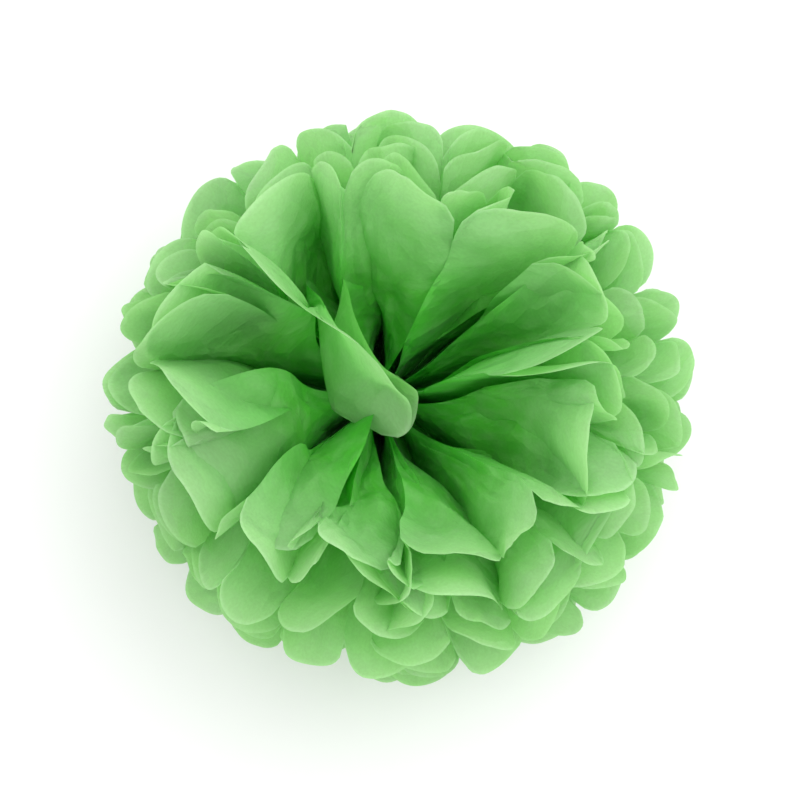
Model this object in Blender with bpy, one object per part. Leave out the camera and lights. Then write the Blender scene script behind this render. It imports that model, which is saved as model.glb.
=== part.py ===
"""Tissue paper pom pom, in metres, +Z up, standing on its lowest petals with the tie above the origin.

Ten sheets are pleated as one strip, cut round at both ends, tied at the middle and fanned out:
each half of a sheet opens to a half circle, and the sheets are drawn apart into a ball.
"""

import math

import bmesh
import bpy
from mathutils import Vector

# One sheet as it is cut, and its pleats
SHEET_WIDTH = 0.500
SHEET_LENGTH = 0.252
PLEATS = 14
SCALLOP_DEPTH = 0.013
PANEL_WIDTH = SHEET_WIDTH / PLEATS
REACH = SHEET_LENGTH / 2
FOLD_END = REACH - SCALLOP_DEPTH

# How far each sheet is drawn up from level, from the top one down, in degrees
LIFTS = (60, 46, 33, 20, 7, -6, -18, -30, -41, -50)
OUTWARD_EASE = 0.2  # share of its lift that a sheet loses again towards its rim

# The tie's waist
TIE_HEIGHT = 0.085
PAPER = 0.0003  # stands for a sheet of about 0.04 mm
STACK_PITCH = 0.0009
WAIST_HALF_WIDTH = 0.005
WAIST_FLAT = 0.0015
WAIST_BEND = 0.0105
WAIST_SPAN = math.radians(130)
OPEN_SPAN = math.radians(179)
OPEN_AT = 0.035
PLEAT_RISE_START = 0.006
PLEAT_RISE_END = 0.060

# Distances from the tie at which a fold has a vertex, and how many edges a scallop's curve has
STATIONS = (0.0022, 0.008, 0.020, 0.042, 0.076, FOLD_END)
SCALLOP_SEGMENTS = 5

# The tie: one wire round the waist, its two ends twisted together below
WIRE_DIAMETER = 0.0010
LOOP_HALF_WIDTH = 0.0056
LOOP_HALF_HEIGHT = 0.0052
LOOP_CORNER = 0.0012
TWIST_RADIUS = 0.0008
TWIST_BEND = 0.0014
TWIST_LENGTH = 0.012
TWIST_TURNS = 2
TWIST_POINTS_PER_TURN = 8
CORNER_POINTS = 4

PAPER_GREEN = (0.13, 0.47, 0.06, 1.0)
WIRE_COLOUR = (0.033, 0.095, 0.025, 1.0)


def clear_scene():
    for thing in list(bpy.data.objects):
        bpy.data.objects.remove(thing, do_unlink=True)


def material(name, colour, roughness):
    made = bpy.data.materials.new(name)
    made.use_nodes = True
    shader = made.node_tree.nodes["Principled BSDF"]
    shader.inputs["Base Color"].default_value = colour
    shader.inputs["Roughness"].default_value = roughness
    shader.inputs["Metallic"].default_value = 0.0
    return made


def ease(value, start, end):
    """0 at start to 1 at end, level at both."""
    share = min(1.0, max(0.0, (value - start) / (end - start)))
    return share * share * (3 - 2 * share)


def along_arc(out, up, heading, turn, length):
    """The end and heading of a run of this length that turns evenly by turn."""
    if abs(turn) < 1e-9:
        return out + length * math.cos(heading), up + length * math.sin(heading), heading
    radius = length / turn
    out += radius * (math.sin(heading + turn) - math.sin(heading))
    up -= radius * (math.cos(heading + turn) - math.cos(heading))
    return out, up, heading + turn


def spine(lift, distance):
    """(out, up, heading) of a sheet's middle surface: level in the tie, bent up, then easing outwards."""
    bend_end = WAIST_FLAT + WAIST_BEND
    out, up, heading = min(distance, WAIST_FLAT), 0.0, 0.0
    if distance > WAIST_FLAT:
        run = min(distance, bend_end) - WAIST_FLAT
        out, up, heading = along_arc(out, up, heading, lift * run / WAIST_BEND, run)
    if distance > bend_end:
        run = distance - bend_end
        eased = -OUTWARD_EASE * lift * run / (REACH - bend_end)
        out, up, heading = along_arc(out, up, heading, eased, run)
    return out, up, heading


def pleat_wave(fold):
    """-1 on even folds and 1 on odd ones, straight between."""
    return 1 - 2 * abs(fold % 2 - 1)


def sheet_point(side, fold, distance, lift, stack_height):
    """A point of a sheet's middle surface, and the step from it to the upper skin.

    side is 1 or -1 for the half towards +X or -X, fold counts panels across the sheet.
    The pleats stand square to the sloping sheet, as deep as their opening leaves of a panel's width.
    """
    out, up, heading = spine(lift, distance)
    span = WAIST_SPAN + (OPEN_SPAN - WAIST_SPAN) * ease(distance, 0, OPEN_AT)
    around = (fold / PLEATS - 0.5) * span
    spread = math.hypot(out, WAIST_HALF_WIDTH)
    pitch = spread * span / PLEATS
    depth = math.sqrt(PANEL_WIDTH**2 - pitch**2) * ease(distance, PLEAT_RISE_START, PLEAT_RISE_END)
    raised = depth / 2 * pleat_wave(fold)
    skin = PAPER / 2 * math.hypot(1, depth / pitch)
    inward = math.sin(heading)
    upward = math.cos(heading)
    middle = Vector((
        side * (out - raised * inward) * math.cos(around),
        (spread - raised * inward) * math.sin(around),
        TIE_HEIGHT + stack_height + up + raised * upward,
    ))
    step = Vector((
        -side * skin * inward * math.cos(around),
        -skin * inward * math.sin(around),
        skin * upward,
    ))
    return middle, step


def scallop(panel):
    """(fold, distance) of the points between a panel's two folds, along half an ellipse."""
    points = []
    for i in range(1, SCALLOP_SEGMENTS):
        angle = math.pi * i / SCALLOP_SEGMENTS
        points.append((panel + (1 - math.cos(angle)) / 2, FOLD_END + SCALLOP_DEPTH * math.sin(angle)))
    return points


def stand_on_table(vert, step):
    """Puts a vertex's lower skin no lower than the table, and its upper skin above that."""
    under = vert.co - step
    over = vert.co + step
    under.z = max(under.z, 0.0)
    over.z = max(over.z, under.z + PAPER)
    return (over + under) / 2, (over - under) / 2


def build_sheet(number, paper):
    """One sheet as a closed solid: its middle surface, extruded to two skins."""
    lift = math.radians(LIFTS[number - 1])
    stack_height = ((len(LIFTS) + 1) / 2 - number) * STACK_PITCH
    bm = bmesh.new()
    steps = bm.verts.layers.float_vector.new("step")

    def vertex(side, fold, distance):
        middle, step = sheet_point(side, fold, distance, lift, stack_height)
        made = bm.verts.new(middle)
        made.co, made[steps] = stand_on_table(made, step)
        return made

    waist = [vertex(1, fold, 0.0) for fold in range(PLEATS + 1)]
    for side in (1, -1):
        rows = [waist]
        for distance in STATIONS:
            rows.append([vertex(side, fold, distance) for fold in range(PLEATS + 1)])
        for near, far in zip(rows, rows[1:]):
            for i in range(PLEATS):
                bm.faces.new((near[i], near[i + 1], far[i + 1], far[i]))
        for panel in range(PLEATS):
            round_end = [vertex(side, fold, distance) for fold, distance in scallop(panel)]
            bm.faces.new((rows[-1][panel + 1], rows[-1][panel], *round_end))
    bmesh.ops.triangulate(bm, faces=bm.faces[:], quad_method="FIXED", ngon_method="EAR_CLIP")

    under = bm.verts[:]
    made = bmesh.ops.extrude_face_region(bm, geom=bm.faces[:])
    for vert in under:
        vert.co -= vert[steps]
    for item in made["geom"]:
        if isinstance(item, bmesh.types.BMVert):
            item.co += item[steps]
    bmesh.ops.recalc_face_normals(bm, faces=bm.faces[:])

    mesh = bpy.data.meshes.new(f"tissue_sheet_{number:02d}")
    bm.to_mesh(mesh)
    bm.free()
    mesh.materials.append(paper)
    sheet = bpy.data.objects.new(mesh.name, mesh)
    bpy.context.scene.collection.objects.link(sheet)


def corner(centre_y, centre_z, radius, start, end):
    """Points of an arc in the plane X = 0, its angles in degrees from +Y towards +Z."""
    points = []
    for i in range(CORNER_POINTS + 1):
        angle = math.radians(start + (end - start) * i / CORNER_POINTS)
        points.append(Vector((0, centre_y + radius * math.cos(angle), centre_z + radius * math.sin(angle))))
    return points


def half_loop():
    """The wire's path from the middle of the loop's top, down the +Y side and into the twist."""
    side = LOOP_HALF_WIDTH - LOOP_CORNER
    level = LOOP_HALF_HEIGHT - LOOP_CORNER
    bend_centre = TWIST_RADIUS + TWIST_BEND
    path = corner(side, level, LOOP_CORNER, 90, 0)
    path += corner(side, -level, LOOP_CORNER, 0, -90)
    path += corner(bend_centre, -LOOP_HALF_HEIGHT - TWIST_BEND, TWIST_BEND, 90, 180)
    twist_top = path[-1].z
    count = TWIST_TURNS * TWIST_POINTS_PER_TURN
    for i in range(1, count + 1):
        angle = 2 * math.pi * i / TWIST_POINTS_PER_TURN
        drop = TWIST_LENGTH * i / count
        path.append(Vector((
            TWIST_RADIUS * math.sin(angle), TWIST_RADIUS * math.cos(angle), twist_top - drop
        )))
    return path


def build_tie(coating):
    """One bent wire: a loop round the waist, its ends twisted together under it."""
    near = half_loop()
    far = [Vector((-p.x, -p.y, p.z)) for p in near]
    path = far[::-1] + near
    curve = bpy.data.curves.new("tie_wire", "CURVE")
    curve.dimensions = "3D"
    curve.bevel_depth = WIRE_DIAMETER / 2
    curve.bevel_resolution = 1
    curve.use_fill_caps = True
    curve.materials.append(coating)
    run = curve.splines.new("POLY")
    run.points.add(len(path) - 1)
    for point, place in zip(run.points, path):
        point.co = (*place, 1.0)
    tie = bpy.data.objects.new("tie_wire", curve)
    tie.location.z = TIE_HEIGHT
    bpy.context.scene.collection.objects.link(tie)


def main():
    clear_scene()
    paper = material("tissue_paper", PAPER_GREEN, 0.85)
    coating = material("wire_coating", WIRE_COLOUR, 0.45)
    for number in range(1, len(LIFTS) + 1):
        build_sheet(number, paper)
    build_tie(coating)


main()
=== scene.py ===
import math

import bpy
import numpy as np
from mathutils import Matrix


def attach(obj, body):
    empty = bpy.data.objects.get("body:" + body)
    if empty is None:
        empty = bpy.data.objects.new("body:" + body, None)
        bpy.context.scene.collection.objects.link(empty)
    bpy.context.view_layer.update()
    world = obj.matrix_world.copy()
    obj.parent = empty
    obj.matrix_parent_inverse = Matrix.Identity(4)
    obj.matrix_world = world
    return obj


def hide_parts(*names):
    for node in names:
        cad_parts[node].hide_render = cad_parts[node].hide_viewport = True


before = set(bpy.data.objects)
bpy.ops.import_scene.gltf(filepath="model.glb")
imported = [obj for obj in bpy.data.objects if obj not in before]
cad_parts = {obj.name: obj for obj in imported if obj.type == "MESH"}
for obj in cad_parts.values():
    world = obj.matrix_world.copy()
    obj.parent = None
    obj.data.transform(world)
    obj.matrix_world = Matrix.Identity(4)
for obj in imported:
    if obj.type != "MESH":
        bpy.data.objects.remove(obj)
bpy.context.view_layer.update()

print("frame loaded")

# The sheet as it is cut, in metres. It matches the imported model's sheets.
tissueCut = {
    "width": 0.500,
    "length": 0.252,
    "pleats": 14,
    "scallopDepth": 0.013,
}
panelWidth = tissueCut["width"] / tissueCut["pleats"]
reach = tissueCut["length"] / 2
foldEnd = reach - tissueCut["scallopDepth"]

# How the ball is tied and drawn open. Lifts are in degrees, from the top sheet down.
pomShape = {
    "lifts": (60, 46, 33, 20, 7, -6, -18, -30, -41, -50),
    "outwardEase": 0.2,     # share of its lift that a sheet loses again towards its rim
    "tieHeight": 0.085,
    "stackPitch": 0.0009,   # between neighbouring sheets in the tie
    "waistHalfWidth": 0.005,
    "waistFlat": 0.0015,    # level run out of the tie, before the bend
    "waistBend": 0.0105,
    "waistSpan": math.radians(130),
    "openSpan": math.radians(179),
    "crestStop": 0.16,      # share of its distance out that a crest keeps from the axis
    "floorGap": 0.0004,
    "flatTopStart": 0.186,  # above this, petals are pressed softly under the ball's top
    "flatTopRoom": 0.017,
}

# How untidy the petals are. Angles are in degrees, lengths in metres.
petalDisorder = {
    "seed": 27,
    "unrest": (0.65, 0.80, 0.60, 0.42, 0.36, 0.36, 0.42, 0.50, 0.60, 0.70),  # from the top sheet down
    "alike": 0.72,          # how closely a sheet follows the one outside it
    "widest": 1.9,          # no fold strays further than this many times the usual
    "liftSwing": 5.0,
    "liftJitter": 9.0,
    "tipCurl": 32.0,
    "tipRoll": 48.0,        # extra turn of the few petals whose ends roll over
    "rollFrom": 0.95,       # how far a petal has to stray before its end rolls over
    "clump": 0.22,          # share of a panel that a fold drifts sideways
    "sideFreedom": 0.35,    # the lower, the closer to the side edges folds still drift
    "lean": 1.00,           # turn, in radians, over a full pleat's height
    "slant": 0.40,          # how far a crest stands to one side, as a share of its height
    "bow": 0.0060,
    "sway": 6.0,
    "edgeOverlap": 7.0,     # how far each half's side edge passes the other's
    "edgePower": 9,         # the higher, the fewer folds beside the edge go with it
    "roundness": 0.18,      # how far creases have softened at the rim
    "crumple": 0.0060,
    "gather": 0.0034,       # height of the fine gathers round the tie
    "gatherLoss": 0.88,     # share of it that is gone further out
    "leanOver": 0.0090,     # the rim's shift towards +X, off the tie
    "narrowing": 0.030,     # share that the ball is narrower along Y
}

# Distances from the tie over which each of these grows from nothing to its whole.
grownOver = {
    "opening": (0.0, 0.035),
    "pleatRise": (0.003, 0.036),
    "edgeOverlap": (0.004, 0.05),
    "gather": (0.004, 0.016),
    "gatherLoss": (0.030, 0.085),
    "crumple": (0.012, 0.065),
    "leanOver": (0.012, reach),
    "waves": (0.018, 0.075),
    "clump": (0.02, 0.10),
    "bow": (0.02, 0.09),
    "lean": (0.025, reach),
    "sway": (0.03, reach),
    "roundness": (0.03, reach),
    "ownCurl": (0.045, 0.100),
    "ownSway": (0.045, 0.105),
    "tipCurl": (0.065, reach),
    "tipRoll": (0.088, reach),
}

# Petals of the upper sheets that lie in a way of their own: (sheet, half, fold) with what is
# added to the lift, the tip's curl and the bearing, in degrees, and to the lean.
# Half 0 is towards +X, and folds count from -Y.
directedPetals = {
    (0, 1, 11): (-6, 10, 0, 0.0),      # a last pleat turned over the middle
    (0, 1, 12): (4, 105, -30, 0.0),
    (0, 1, 13): (4, 130, -50, 0.0),
    (0, 1, 14): (0, 120, -55, 0.0),
    (0, 0, 14): (0, 0, 4, 0.0),        # upright ones behind it
    (0, 0, 13): (2, -10, 6, -0.8),
    (0, 0, 11): (0, -10, 4, 1.0),
    (0, 0, 10): (-6, 0, 0, 0.0),
    (0, 0, 9): (-8, -10, 0, 0.5),
    (0, 0, 6): (-10, -20, 6, 0.4),     # flatter ones towards +X and -Y
    (0, 0, 5): (-18, -40, 6, 0.8),
    (0, 0, 3): (-26, -6, 4, 1.0),
    (0, 0, 2): (-18, -16, 0, 0.0),
    (0, 0, 1): (-14, -20, 0, 0.6),
    (0, 1, 1): (-12, -10, -6, -0.6),
    (0, 1, 3): (10, -60, 0, -0.8),     # a group whose tips roll outwards
    (0, 1, 4): (8, -50, 0, 0.0),
    (0, 1, 5): (6, -40, 0, 0.8),
    (0, 1, 8): (-6, -10, 0, 0.0),
    (0, 1, 9): (-2, -20, 0, 0.8),
    (0, 1, 10): (-12, -20, 0, 0.0),
    (1, 0, 8): (-6, 10, 0, 0.0),
    (1, 0, 9): (-4, 26, 0, 0.8),
}

# Slow waves in space. They move all sheets alike, so that they don't push neighbours together.
airWaves = {"seed": 7, "count": 14, "longest": 0.110, "shortest": 0.026, "slope": 0.21}

# Flat triangles that the paper is crumpled into: width and length in metres, and how far their
# columns and rows slant. A crumple starts with its share of the height.
crumpleFacets = (
    (1.00, 0.027, 0.038, 0.45, -0.35),
    (0.45, 0.014, 0.019, -0.60, 0.50),
    (0.17, 0.0060, 0.0085, 0.30, -0.40),
)
gatherFacets = (0.0050, 0.034, 0.0, 0.30)
facetTable = 256    # random heights a side, before they repeat

sheetGrid = {
    "acrossPanel": 18,
    "along": 96,
    "creaseAngle": math.radians(30),    # sharper folds are shaded as creases
    "flatSpacing": 1.2,     # widths between the sheets where they are laid out flat
}


def easeBetween(value, start, end):
    # 0 at start to 1 at end, level at both: 3t^2 - 2t^3
    share = np.clip((value - start) / (end - start), 0, 1)
    return share * share * (3 - 2 * share)


def flatHalfSheet():
    # a grid on half a flat sheet: fold counts panels across it, share is the place on a panel,
    # and distance runs out from the tie to half an ellipse at each panel's end
    pleats = tissueCut["pleats"]
    fold = np.linspace(0, pleats, pleats * sheetGrid["acrossPanel"] + 1)
    panel = np.minimum(np.floor(fold), pleats - 1)
    share = fold - panel
    scallop = np.sqrt(np.clip(1 - (2 * share - 1) ** 2, 0, 1))
    lengthHere = foldEnd + tissueCut["scallopDepth"] * scallop
    along = np.linspace(0, 1, sheetGrid["along"] + 1)
    distance = lengthHere[:, None] * along[None, :]
    return fold, panel, share, np.broadcast_to(along, distance.shape), distance


fold, panel, panelShare, along, distance = flatHalfSheet()
bearing = (fold / tissueCut["pleats"] - 0.5)[:, None]    # share of the fan, from its middle


def grown(what):
    return easeBetween(distance, *grownOver[what])


def drawDisorder():
    # one number a fold for each sheet and half, each sheet partly like the last one out
    dice = np.random.default_rng(petalDisorder["seed"])
    sheetCount, folds = len(pomShape["lifts"]), tissueCut["pleats"] + 1
    alike = petalDisorder["alike"]
    widest = petalDisorder["widest"]
    unrest = np.array(petalDisorder["unrest"])[:, None, None]
    kinds = {}
    for kind in ("lift", "curl", "clump", "lean", "bow", "sway", "roll"):
        fresh = dice.normal(0, 1, (sheetCount, 2, folds))
        for number in range(1, sheetCount):
            fresh[number] = alike * fresh[number - 1] + math.sqrt(1 - alike ** 2) * fresh[number]
        kinds[kind] = np.clip(fresh, -widest, widest) * unrest
    own = np.zeros((4, sheetCount, 2, folds))
    for (number, side, foldNumber), additions in directedPetals.items():
        own[:, number, side, foldNumber] = additions
    kinds["ownLift"], kinds["ownCurl"], kinds["ownSway"], kinds["ownLean"] = own
    return kinds


disorder = drawDisorder()


def joined(foldValues):
    # one value a fold, joined by straight lines over the panels between
    return np.interp(fold, np.arange(len(foldValues)), foldValues)[:, None]


def drawn(kind, number, side):
    return joined(disorder[kind][number, side])


def drawnSoftly(kind, number, side):
    # each fold's number averaged with its two neighbours first
    padded = np.pad(disorder[kind][number, side], 1, mode="edge")
    return joined(0.25 * padded[:-2] + 0.5 * padded[1:-1] + 0.25 * padded[2:])


def facetNoise(across, outwards, dice):
    # random heights at whole numbers, joined by flat triangles, so their sides are creases
    heights = dice.uniform(-1, 1, (facetTable, facetTable))
    column, row = np.floor(across).astype(int), np.floor(outwards).astype(int)
    x, y = across - column, outwards - row
    start = heights[column % facetTable, row % facetTable]
    right = heights[(column + 1) % facetTable, row % facetTable]
    over = heights[column % facetTable, (row + 1) % facetTable]
    corner = heights[(column + 1) % facetTable, (row + 1) % facetTable]
    lower = start + x * (right - start) + y * (corner - right)
    upper = start + y * (over - start) + x * (corner - over)
    return np.where(x > y, lower, upper)


def paperFacets(dice, width, length, columnSlant, rowSlant):
    # a column moves sideways with the distance out, and a row outwards across the sheet
    across = (fold * panelWidth)[:, None]
    columns = (across + columnSlant * distance) / width
    rows = (distance + rowSlant * across) / length
    return facetNoise(columns, rows, dice)


def crumpledPaper(number, side):
    # every sheet has crumples of its own, but the tie draws all of them in to the same gathers
    ownDice = np.random.default_rng(petalDisorder["seed"] + 100 * number + side)
    crumple = sum(share * paperFacets(ownDice, *facets) for share, *facets in crumpleFacets)
    tiedDice = np.random.default_rng(petalDisorder["seed"] + side)
    gathers = paperFacets(tiedDice, *gatherFacets)
    gathers = gathers * grown("gather") * (1 - petalDisorder["gatherLoss"] * grown("gatherLoss"))
    return petalDisorder["crumple"] * crumple * grown("crumple") + petalDisorder["gather"] * gathers


def spineOf(number, side):
    # the heading bends up out of the tie by the sheet's lift, eases outwards, and curls at the
    # tip; the spine's steps out and up are its cosine and sine, added up
    swing = petalDisorder["liftSwing"] * np.cos(2 * math.pi * bearing + number + 2 * side)
    jitter = petalDisorder["liftJitter"] * drawnSoftly("lift", number, side)
    lifted = abs(pomShape["lifts"][number]) + swing + jitter + drawn("ownLift", number, side)
    bendEnd = pomShape["waistFlat"] + pomShape["waistBend"]
    bent = np.clip((distance - pomShape["waistFlat"]) / pomShape["waistBend"], 0, 1)
    eased = np.clip((distance - bendEnd) / (reach - bendEnd), 0, 1)
    roll = drawn("roll", number, side)
    rolling = np.clip(np.abs(roll) - petalDisorder["rollFrom"], 0, 1) * np.sign(roll)
    curl = petalDisorder["tipCurl"] * drawnSoftly("curl", number, side) * grown("tipCurl")
    curl = curl + drawn("ownCurl", number, side) * grown("ownCurl")
    curl = curl + petalDisorder["tipRoll"] * rolling * grown("tipRoll")
    heading = np.radians(lifted * bent * (1 - pomShape["outwardEase"] * eased) + curl)
    step = np.diff(distance, axis=1)
    middle = (heading[:, 1:] + heading[:, :-1]) / 2
    out = np.pad(np.cumsum(step * np.cos(middle), axis=1), ((0, 0), (1, 0)))
    up = np.pad(np.cumsum(step * np.sin(middle), axis=1), ((0, 0), (1, 0)))
    return heading, out, up


def bearingsOf(number, side):
    # each fold's bearing round the tie: the fan opens, and folds clump, sway and overlap
    waistSpan, openSpan = pomShape["waistSpan"], pomShape["openSpan"]
    span = waistSpan + (openSpan - waistSpan) * grown("opening")
    free = np.sin(math.pi * fold / tissueCut["pleats"])[:, None] ** petalDisorder["sideFreedom"]
    drift = petalDisorder["clump"] * drawn("clump", number, side) * grown("clump") * free
    sway = petalDisorder["sway"] * drawnSoftly("sway", number, side) * grown("sway") * free
    overlap = petalDisorder["edgeOverlap"] * (2 * bearing) ** petalDisorder["edgePower"]
    turned = sway + overlap * grown("edgeOverlap") + drawn("ownSway", number, side) * grown("ownSway")
    return (bearing + drift / tissueCut["pleats"]) * span + np.radians(turned)


def pleatsOn(around, spread, crestParity):
    # a pleat's height is the other side of the triangle on its pitch, with a panel as hypotenuse;
    # raised is the height that this place on the panel has reached
    fine = sheetGrid["acrossPanel"]
    pitch = np.repeat(np.abs(np.diff(around[::fine], axis=0)), fine, axis=0)
    pitch = np.vstack([pitch, pitch[-1:]]) * np.abs(spread)
    height = np.sqrt(np.clip(panelWidth ** 2 - pitch ** 2, 0, None)) * grown("pleatRise")
    rising = panel % 2 != crestParity
    straight = np.where(rising, panelShare, 1 - panelShare)[:, None]
    rounded = (1 - np.cos(math.pi * straight)) / 2
    softness = petalDisorder["roundness"] * grown("roundness")
    raised = height * (straight * (1 - softness) + rounded * softness)
    return height, raised


def bentCrests(number, side, raised):
    # a pleat bends over sideways: a strip of height h turned evenly by k h ends (1 - cos kh)/k
    # to the side and (sin kh)/k up, and a straight slant is added
    leaning = (drawnSoftly("lean", number, side) + drawn("ownLean", number, side)) * grown("lean")
    turn = petalDisorder["lean"] * leaning / panelWidth
    leastTurn = 1e-4    # keeps an upright pleat from dividing by nothing
    turn = np.where(np.abs(turn) < leastTurn, leastTurn, turn)
    sideways = (1 - np.cos(turn * raised)) / turn + petalDisorder["slant"] * leaning * raised
    return sideways, np.sin(turn * raised) / turn


def wavedSpace(points):
    # each point moves by a sum of sines of its place, every wave as tall as its length allows;
    # then the rim is shifted, and the ball narrowed
    dice = np.random.default_rng(airWaves["seed"])
    moved = np.zeros_like(points)
    for waveLength in np.geomspace(airWaves["longest"], airWaves["shortest"], airWaves["count"]):
        travel = dice.normal(0, 1, 3)
        travel = travel / np.linalg.norm(travel)
        push = dice.normal(0, 1, 3)
        push = push / np.linalg.norm(push)
        height = airWaves["slope"] * waveLength / (2 * math.pi)
        phase = points @ travel * (2 * math.pi / waveLength) + dice.uniform(0, 2 * math.pi)
        moved += height * np.sin(phase)[..., None] * push
    points = points + moved * grown("waves")[..., None]
    points[..., 0] += petalDisorder["leanOver"] * grown("leanOver")
    points[..., 1] *= 1 - petalDisorder["narrowing"] * grown("waves")
    return points


def pressedFlat(heights):
    # no lower than the floor, and what is above the flat top's start is drawn in by tanh
    heights = np.maximum(heights, pomShape["floorGap"])
    over = np.maximum(heights - pomShape["flatTopStart"], 0)
    return heights - over + pomShape["flatTopRoom"] * np.tanh(over / pomShape["flatTopRoom"])


def halfSheet(number, side):
    # Surface over (fold, distance from the tie): the spine is turned round the tie by the fold's
    # bearing, and a pleat stands square on it. Lower sheets are the same thing upside down.
    upward = 1 if pomShape["lifts"][number] > 0 else -1
    heading, out, up = spineOf(number, side)
    around = bearingsOf(number, side)
    spread = np.hypot(np.maximum(out, 0), pomShape["waistHalfWidth"]) + np.minimum(out, 0)
    height, raised = pleatsOn(around, spread, crestParity=1 if upward > 0 else 0)
    sideways, standing = bentCrests(number, side, raised)
    belly = petalDisorder["bow"] * drawn("bow", number, side) * np.sin(math.pi * panelShare)[:, None]
    standing = standing - height / 2 + belly * grown("bow") + crumpledPaper(number, side)

    drawnIn = np.minimum(standing * np.sin(heading), (1 - pomShape["crestStop"]) * np.abs(out))
    x = (out - drawnIn) * np.cos(around) - sideways * np.sin(around)
    y = (spread - drawnIn) * np.sin(around) + sideways * np.cos(around)
    stackHeight = ((len(pomShape["lifts"]) - 1) / 2 - number) * pomShape["stackPitch"]
    z = pomShape["tieHeight"] + stackHeight + upward * (up + standing * np.cos(heading))
    points = wavedSpace(np.stack([x if side == 0 else -x, y, z], axis=-1))
    points[..., 2] = pressedFlat(points[..., 2])
    return points


def bothHalves(far, near):
    # one grid: the far half runs in to the tie, and the near half out from it
    return np.concatenate([far[:, :0:-1], near], axis=1)


def gridFaces(columns, rows):
    # quads between neighbouring points of a grid, facing up where the sheet is level
    index = np.arange(columns * rows).reshape(columns, rows)
    corners = [index[:-1, 1:], index[1:, 1:], index[1:, :-1], index[:-1, :-1]]
    return np.stack(corners, axis=-1).reshape(-1, 4)


def nameFlatPlaces(mesh, number):
    # each point's place on the flat sheet, in metres, with the sheets laid out side by side
    across = fold * panelWidth + number * sheetGrid["flatSpacing"] * tissueCut["width"]
    fromMiddle = bothHalves(-distance, distance)
    flat = np.stack([np.broadcast_to(across[:, None], fromMiddle.shape), fromMiddle], axis=-1)
    loopVertices = np.empty(len(mesh.loops), dtype=np.int32)
    mesh.loops.foreach_get("vertex_index", loopVertices)
    cut = mesh.uv_layers.new(name="flatSheet")
    cut.data.foreach_set("uv", flat.reshape(-1, 2)[loopVertices].astype(np.float32).ravel())


def nameShares(mesh, name, values):
    layer = mesh.attributes.new(name, "FLOAT", "POINT")
    layer.data.foreach_set("value", values.astype(np.float32).ravel())


def tissueSheet(number, paper):
    points = bothHalves(halfSheet(number, 1), halfSheet(number, 0))
    name = f"paper_sheet_{number + 1:02d}"
    mesh = bpy.data.meshes.new(name)
    mesh.from_pydata(points.reshape(-1, 3), [], gridFaces(*points.shape[:2]))
    nameFlatPlaces(mesh, number)
    nameShares(mesh, "fromTie", bothHalves(distance, distance) / reach)
    nameShares(mesh, "towardsCut", bothHalves(along, along))
    mesh.shade_smooth()
    mesh.set_sharp_from_angle(angle=sheetGrid["creaseAngle"])
    mesh.materials.append(paper)
    sheet = bpy.data.objects.new(name, mesh)
    bpy.context.scene.collection.objects.link(sheet)
    return sheet


# Scales are per metre of flat sheet. Places on the sheet are shares of the way from tie to rim.
tissueLook = {
    # painted light: from the tie to the rim the colour runs from a saturated green, where light reaches
    # the middle only through many sheets, to a pale rim lit through a single sheet from behind
    "paintedDepthGreen": (0.032, 0.600, 0.010, 1.0),
    "petalGreen": (0.120, 0.530, 0.062, 1.0),
    "paintedRimGreen": (0.400, 0.600, 0.330, 1.0),
    "pulpGreen": (0.400, 0.700, 0.330, 1.0),
    "cutEdgeGreen": (0.560, 0.780, 0.480, 1.0),
    # painted light: the colour let through runs from a saturated green near the tie to a paler one at
    # the rim
    "paintedThroughDeep": (0.150, 0.880, 0.070, 1.0),
    "paintedThroughRim": (0.380, 0.860, 0.250, 1.0),
    "deepTo": 0.08,
    "petalAt": 0.62,
    "throughDeepTo": 0.2,
    "lightThrough": 0.46,
    "roughness": 0.85,
    "specular": 0.22,
    "sheen": 0.06,
    "sheenRoughness": 0.5,
    "cloudScale": 150.0,
    "cloudRange": (0.42, 0.68),     # part of the noise that makes clouds of pulp
    "cloudShare": 0.24,
    "grainScale": 900.0,
    "grainRange": (0.32, 0.68),
    "grainDepth": 0.065,
    "creaseScale": 46.0,
    "creaseHeight": 0.0075,
    "creaseStrength": 0.55,
    "wrinkleScale": 135.0,
    "wrinkleShare": 0.34,   # of a crease's height
    "grainShare": 0.05,
    "edgeStart": 0.984,
    "edgeShare": 0.8,
}
mixSockets = {"first": 6, "second": 7, "result": 2}    # a mix node's sockets for colours


def addNode(tree, kind, **settings):
    made = tree.nodes.new(kind)
    for setting, value in settings.items():
        setattr(made, setting, value)
    return made


def patternOn(tree, kind, place, scale, output):
    pattern = addNode(tree, kind)
    pattern.inputs["Scale"].default_value = scale
    tree.links.new(place, pattern.inputs["Vector"])
    return pattern.outputs[output]


def spreadTo(tree, value, fromRange, toRange):
    # value's range stretched or squeezed onto another one
    spread = addNode(tree, "ShaderNodeMapRange")
    spread.inputs["From Min"].default_value, spread.inputs["From Max"].default_value = fromRange
    spread.inputs["To Min"].default_value, spread.inputs["To Max"].default_value = toRange
    tree.links.new(value, spread.inputs["Value"])
    return spread.outputs["Result"]


def addedTo(tree, base, other, share):
    # base + share * other
    mixed = addNode(tree, "ShaderNodeMath", operation="MULTIPLY_ADD")
    mixed.inputs[1].default_value = share
    tree.links.new(other, mixed.inputs[0])
    tree.links.new(base, mixed.inputs[2])
    return mixed.outputs["Value"]


def tintedTowards(tree, colour, tint, amount):
    mixed = addNode(tree, "ShaderNodeMix", data_type="RGBA")
    mixed.inputs[mixSockets["second"]].default_value = tint
    tree.links.new(amount, mixed.inputs["Factor"])
    tree.links.new(colour, mixed.inputs[mixSockets["first"]])
    return mixed.outputs[mixSockets["result"]]


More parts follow.
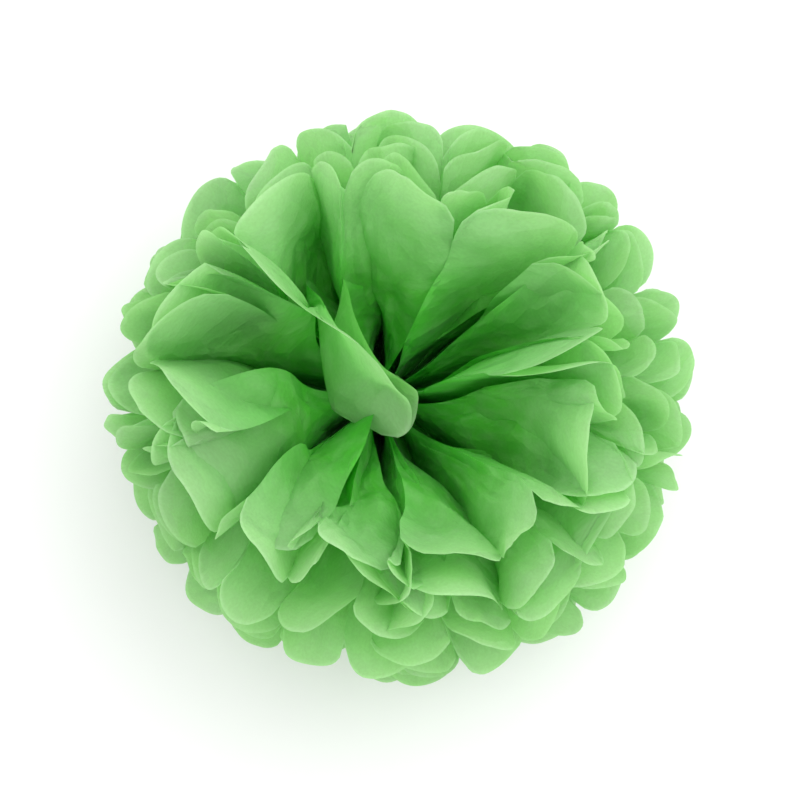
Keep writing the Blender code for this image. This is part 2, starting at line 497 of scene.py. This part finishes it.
def rampOn(tree, value, *stops):
    # a colour that changes along value, from (place, colour) stops in order
    ramp = addNode(tree, "ShaderNodeValToRGB")
    for end, (place, colour) in zip(ramp.color_ramp.elements, (stops[0], stops[-1])):
        end.position = place
        end.color = colour
    for place, colour in stops[1:-1]:
        ramp.color_ramp.elements.new(place).color = colour
    tree.links.new(value, ramp.inputs["Fac"])
    return ramp.outputs["Color"]


def tissueColourAndPaintedLight(tree, fromTie, clouds, grain):
    # painted light from the tie to the rim: a saturated green near the tie and a pale rim stand in for
    # how light comes through the sheets; then clouds of pulp, a pale cut edge and a fine grain
    towardsCut = addNode(tree, "ShaderNodeAttribute", attribute_name="towardsCut").outputs["Fac"]
    colour = rampOn(tree, fromTie, (tissueLook["deepTo"], tissueLook["paintedDepthGreen"]),
                    (tissueLook["petalAt"], tissueLook["petalGreen"]), (1.0, tissueLook["paintedRimGreen"]))
    cloudy = spreadTo(tree, clouds, tissueLook["cloudRange"], (0.0, tissueLook["cloudShare"]))
    colour = tintedTowards(tree, colour, tissueLook["pulpGreen"], cloudy)
    atEdge = spreadTo(tree, towardsCut, (tissueLook["edgeStart"], 1.0), (0.0, tissueLook["edgeShare"]))
    colour = tintedTowards(tree, colour, tissueLook["cutEdgeGreen"], atEdge)
    speckled = addNode(tree, "ShaderNodeHueSaturation")
    depth = tissueLook["grainDepth"]
    brightness = spreadTo(tree, grain, tissueLook["grainRange"], (1 - depth, 1 + depth))
    tree.links.new(brightness, speckled.inputs["Value"])
    tree.links.new(colour, speckled.inputs["Color"])
    return speckled.outputs["Color"]


def tissueRelief(tree, flatPlace, grain):
    # creases between flat cells, finer wrinkles and the grain
    creases = patternOn(tree, "ShaderNodeTexVoronoi", flatPlace, tissueLook["creaseScale"], "Distance")
    wrinkles = patternOn(tree, "ShaderNodeTexVoronoi", flatPlace, tissueLook["wrinkleScale"], "Distance")
    relief = addedTo(tree, creases, wrinkles, tissueLook["wrinkleShare"])
    relief = addedTo(tree, relief, grain, tissueLook["grainShare"])
    bump = addNode(tree, "ShaderNodeBump")
    bump.inputs["Strength"].default_value = tissueLook["creaseStrength"]
    bump.inputs["Distance"].default_value = tissueLook["creaseHeight"]
    tree.links.new(relief, bump.inputs["Height"])
    return bump.outputs["Normal"]


def tissuePaperMaterial():
    # soft matt paper, mixed with the light that comes through it
    made = bpy.data.materials.new("tissuePaper")
    made.use_nodes = True
    tree = made.node_tree
    links = tree.links
    shader = tree.nodes["Principled BSDF"]
    shader.inputs["Roughness"].default_value = tissueLook["roughness"]
    shader.inputs["Specular IOR Level"].default_value = tissueLook["specular"]
    shader.inputs["Sheen Weight"].default_value = tissueLook["sheen"]
    shader.inputs["Sheen Roughness"].default_value = tissueLook["sheenRoughness"]
    flatPlace = addNode(tree, "ShaderNodeTexCoord").outputs["UV"]
    fromTie = addNode(tree, "ShaderNodeAttribute", attribute_name="fromTie").outputs["Fac"]
    clouds = patternOn(tree, "ShaderNodeTexNoise", flatPlace, tissueLook["cloudScale"], "Fac")
    grain = patternOn(tree, "ShaderNodeTexNoise", flatPlace, tissueLook["grainScale"], "Fac")
    relief = tissueRelief(tree, flatPlace, grain)
    links.new(tissueColourAndPaintedLight(tree, fromTie, clouds, grain), shader.inputs["Base Color"])
    links.new(relief, shader.inputs["Normal"])
    through = addNode(tree, "ShaderNodeBsdfTranslucent")
    # painted light: the colour let through is more saturated near the tie and paler at the rim
    glow = rampOn(tree, fromTie, (tissueLook["throughDeepTo"], tissueLook["paintedThroughDeep"]),
                  (1.0, tissueLook["paintedThroughRim"]))
    links.new(glow, through.inputs["Color"])
    links.new(relief, through.inputs["Normal"])
    both = addNode(tree, "ShaderNodeMixShader")
    both.inputs["Fac"].default_value = tissueLook["lightThrough"]
    links.new(shader.outputs["BSDF"], both.inputs[1])
    links.new(through.outputs["BSDF"], both.inputs[2])
    links.new(both.outputs["Shader"], tree.nodes["Material Output"].inputs["Surface"])
    return made


wireLook = {
    "darkGreen": (0.020, 0.075, 0.014, 1.0),
    "lightGreen": (0.035, 0.120, 0.026, 1.0),
    "streakScale": 400.0,
    "roughness": 0.45,
}


def wireCoatingMaterial():
    made = bpy.data.materials.new("wireCoating")
    made.use_nodes = True
    tree = made.node_tree
    shader = tree.nodes["Principled BSDF"]
    shader.inputs["Roughness"].default_value = wireLook["roughness"]
    place = addNode(tree, "ShaderNodeTexCoord").outputs["Object"]
    streaks = patternOn(tree, "ShaderNodeTexNoise", place, wireLook["streakScale"], "Fac")
    colour = rampOn(tree, streaks, (0.0, wireLook["darkGreen"]), (1.0, wireLook["lightGreen"]))
    tree.links.new(colour, shader.inputs["Base Color"])
    return made


def makeBall():
    paper = tissuePaperMaterial()
    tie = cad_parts["tie_wire"]
    tie.data.materials.clear()
    tie.data.materials.append(wireCoatingMaterial())
    for number in range(len(pomShape["lifts"])):
        sheet = tissueSheet(number, paper)
        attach(sheet, "root")
        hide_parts(f"tissue_sheet_{number + 1:02d}")
    print("sheets made")


studio = {
    "floorSize": 6.0,
    "floorColour": (0.93, 0.93, 0.93, 1.0),
    "floorRoughness": 0.9,
    "worldColour": (1.0, 1.0, 1.0, 1.0),
    "worldStrength": 1.20,
    "keyPower": 6.0,
    "keySize": 1.2,
    "keyPlace": (0.55, 0.50, 0.95),
}


def makeFloor():
    bpy.ops.mesh.primitive_plane_add(size=studio["floorSize"])
    floor = bpy.context.active_object
    floor.name = "floor"
    pale = bpy.data.materials.new("paleFloor")
    pale.use_nodes = True
    shader = pale.node_tree.nodes["Principled BSDF"]
    shader.inputs["Base Color"].default_value = studio["floorColour"]
    shader.inputs["Roughness"].default_value = studio["floorRoughness"]
    floor.data.materials.append(pale)
    print("floor made")


def makeLight():
    world = bpy.data.worlds.new("studioWorld")
    world.use_nodes = True
    sky = world.node_tree.nodes["Background"]
    sky.inputs["Color"].default_value = studio["worldColour"]
    sky.inputs["Strength"].default_value = studio["worldStrength"]
    bpy.context.scene.world = world
    bpy.context.scene.view_settings.view_transform = "Standard"
    light = bpy.data.lights.new("softKey", "AREA")
    light.energy = studio["keyPower"]
    light.size = studio["keySize"]
    key = bpy.data.objects.new("softKey", light)
    key.location = studio["keyPlace"]
    key.rotation_mode = "QUATERNION"
    key.rotation_quaternion = key.location.to_track_quat("Z", "Y")
    bpy.context.scene.collection.objects.link(key)
    print("light made")


# The camera looks down from -Y, at a point off the tie's axis. The elevation is in degrees.
cameraSet = {"elevation": 85.0, "distance": 1.30, "lens": 135.0, "aim": (0.0094, 0.0, 0.09)}


def makeCamera():
    tilt = math.radians(cameraSet["elevation"])
    aimX, aimY, aimZ = cameraSet["aim"]
    back = cameraSet["distance"] * math.cos(tilt)
    above = cameraSet["distance"] * math.sin(tilt)
    view = bpy.data.cameras.new("productCamera")
    view.lens = cameraSet["lens"]
    camera = bpy.data.objects.new("productCamera", view)
    camera.location = (aimX, aimY - back, aimZ + above)
    camera.rotation_euler = (math.pi / 2 - tilt, 0, 0)
    bpy.context.scene.collection.objects.link(camera)
    bpy.context.scene.camera = camera
    print("camera made")


makeBall()
makeFloor()
makeLight()
makeCamera()
